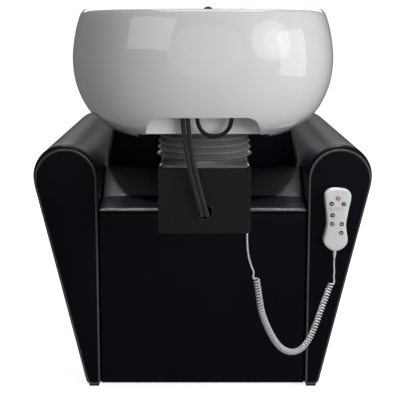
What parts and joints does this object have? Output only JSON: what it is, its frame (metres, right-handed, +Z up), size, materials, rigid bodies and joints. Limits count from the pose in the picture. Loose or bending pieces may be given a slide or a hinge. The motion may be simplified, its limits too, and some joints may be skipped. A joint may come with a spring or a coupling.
{
  "type": "shampoo backwash unit",
  "caption": "Salon backwash chair: upholstered armchair with powered leg rest and a tilting ceramic wash basin cantilevered behind it, with a corded handset.",
  "frame": {"origin": "middle of the bounding box on the floor", "axes": "+Z up, +Y towards the front of the seat, -Y towards the basin, +X to the side with the handset"},
  "size_m": [0.828, 1.3601, 0.9414],
  "materials": {
    "upholstery": "black leatherette, fine grain, semi-gloss",
    "ceramic": "white glazed ceramic",
    "frame_steel": "black powder coat",
    "bracket_steel": "black powder coat, satin",
    "board": "plywood",
    "black_plastic": "black moulded plastic, fine texture",
    "bellows_plastic": "dark grey glossy flexible plastic",
    "chrome_parts": "polished chrome",
    "zinc_fasteners": "zinc-plated steel",
    "grey_plastic": "light grey moulded plastic",
    "button_black": "black moulded plastic",
    "button_red": "red moulded plastic",
    "hose_braid": "black braided sleeve",
    "hose_rubber": "black smooth hose",
    "drain_plastic": "grey polypropylene",
    "cord_grey": "light grey flexible plastic",
    "gel": "soft black gel rubber",
    "actuator_paint": "grey painted aluminium",
    "brass_fittings": "nickel-plated brass"
  },
  "bodies": {
    "chair": {"right_arm": "upholstery", "left_arm": "upholstery", "rear_panel": "upholstery", "rear_block": "upholstery", "backrest_shell": "upholstery", "backrest_cushion": "upholstery", "seat_cushion": "upholstery", "kick_panel": "upholstery", "base_frame": "frame_steel", "basin_beams": "frame_steel", "tilt_fork": "bracket_steel", "seat_board": "board", "floor_glides": "black_plastic", "control_box": "black_plastic", "mains_inlet": "black_plastic", "pedestal_cover": "black_plastic", "hose_grommet": "hose_rubber", "bellows": "bellows_plastic", "bellows_base": "bellows_plastic", "frame_bolts": "zinc_fasteners", "tilt_pins": "zinc_fasteners", "leg_rest_pins": "zinc_fasteners", "supply_hose_hot": "hose_braid", "supply_hose_cold": "hose_braid", "drain_hose": "drain_plastic", "waste_outlet": "drain_plastic", "stop_valves": "brass_fittings", "handset_clip": "grey_plastic", "cord_gland": "cord_grey", "handset_cord_lead": "cord_grey", "handset_cord_coil": "cord_grey", "handset_cord_tail": "cord_grey"},
    "handset": {"handset_front": "grey_plastic", "handset_back": "grey_plastic", "strain_relief": "cord_grey"},
    "basin": {"basin_bowl": "ceramic", "basin_skirt": "ceramic", "neck_rest": "gel", "tilt_plate": "bracket_steel", "plate_bolts": "zinc_fasteners", "drain_fitting": "chrome_parts", "mixer_body": "chrome_parts", "spray_holder": "chrome_parts", "spray_hose_loop": "hose_rubber"},
    "strainer": {"drain_strainer": "chrome_parts"},
    "mixer_stem": {"mixer_cartridge": "chrome_parts"},
    "mixer_handle": {"mixer_lever": "black_plastic"},
    "spray": {"spray_head": "chrome_parts"},
    "leg_rest": {"leg_rest_frame": "bracket_steel", "leg_rest_board": "board", "leg_rest_pad": "upholstery"},
    "actuator": {"actuator_housing": "actuator_paint"},
    "actuator_shaft": {"actuator_rod": "zinc_fasteners"},
    "power_button_body": {"power_button": "button_red"},
    "tilt_up_button_body": {"tilt_up_button": "button_black"},
    "tilt_down_button_body": {"tilt_down_button": "button_black"},
    "leg_up_button_body": {"leg_up_button": "button_black"},
    "leg_down_button_body": {"leg_down_button": "button_black"},
    "memory_button_body": {"memory_button": "button_black"},
    "massage_button_body": {"massage_button": "button_black"}
  },
  "joints": [
    {"name": "basin_tilt", "type": "hinge", "parent": "chair", "child": "basin", "pos_m": [0, -0.42, 0.66], "axis": [1, 0, 0], "range_deg": [0, 15], "deforming": ["bellows", "drain_hose", "supply_hose_hot", "supply_hose_cold"]},
    {"name": "strainer_lift", "type": "slide", "parent": "basin", "child": "strainer", "axis": [0, 0, 1], "range_m": [0, 0.05]},
    {"name": "mixer_turn", "type": "hinge", "parent": "basin", "child": "mixer_stem", "pos_m": [0.01, -0.606, 0.916], "axis": [0, 0, 1], "range_deg": [-45, 45]},
    {"name": "mixer_lift", "type": "hinge", "parent": "mixer_stem", "child": "mixer_handle", "pos_m": [0.01, -0.606, 0.9305], "axis": [1, 0, 0], "range_deg": [0, 25]},
    {"name": "spray_pull", "type": "slide", "parent": "basin", "child": "spray", "axis": [0, 0, 1], "range_m": [0, 0.12]},
    {"name": "leg_rest_swing", "type": "hinge", "parent": "chair", "child": "leg_rest", "pos_m": [0, 0.618, 0.401], "axis": [1, 0, 0], "range_deg": [0, 70]},
    {"name": "actuator_pivot", "type": "hinge", "parent": "chair", "child": "actuator", "pos_m": [0, 0.25, 0.11], "axis": [1, 0, 0], "range_deg": [-2.2, 0.2]},
    {"name": "actuator_extend", "type": "slide", "parent": "actuator", "child": "actuator_shaft", "axis": [0, 0.8496, 0.5274], "range_m": [-0.001, 0.081]},
    {"name": "handset_lift", "type": "slide", "parent": "chair", "child": "handset", "axis": [0.0349, 0, 0.9994], "range_m": [0, 0.04], "deforming": ["handset_cord_tail"]},
    {"name": "power_press", "type": "slide", "parent": "handset", "child": "power_button_body", "axis": [0, 1, 0], "range_m": [0, 0.001], "stiffness_N_per_m": 400},
    {"name": "tilt_up_press", "type": "slide", "parent": "handset", "child": "tilt_up_button_body", "axis": [0, 1, 0], "range_m": [0, 0.001], "stiffness_N_per_m": 400},
    {"name": "tilt_down_press", "type": "slide", "parent": "handset", "child": "tilt_down_button_body", "axis": [0, 1, 0], "range_m": [0, 0.001], "stiffness_N_per_m": 400},
    {"name": "leg_up_press", "type": "slide", "parent": "handset", "child": "leg_up_button_body", "axis": [0, 1, 0], "range_m": [0, 0.001], "stiffness_N_per_m": 400},
    {"name": "leg_down_press", "type": "slide", "parent": "handset", "child": "leg_down_button_body", "axis": [0, 1, 0], "range_m": [0, 0.001], "stiffness_N_per_m": 400},
    {"name": "memory_press", "type": "slide", "parent": "handset", "child": "memory_button_body", "axis": [0, 1, 0], "range_m": [0, 0.001], "stiffness_N_per_m": 400},
    {"name": "massage_press", "type": "slide", "parent": "handset", "child": "massage_button_body", "axis": [0, 1, 0], "range_m": [0, 0.001], "stiffness_N_per_m": 400}
  ],
  "couplings": [
    {"joint": "actuator_pivot", "follows": "leg_rest_swing", "ratio": -0.03},
    {"joint": "actuator_extend", "follows": "leg_rest_swing", "m_per_rad": 0.065}
  ]
}
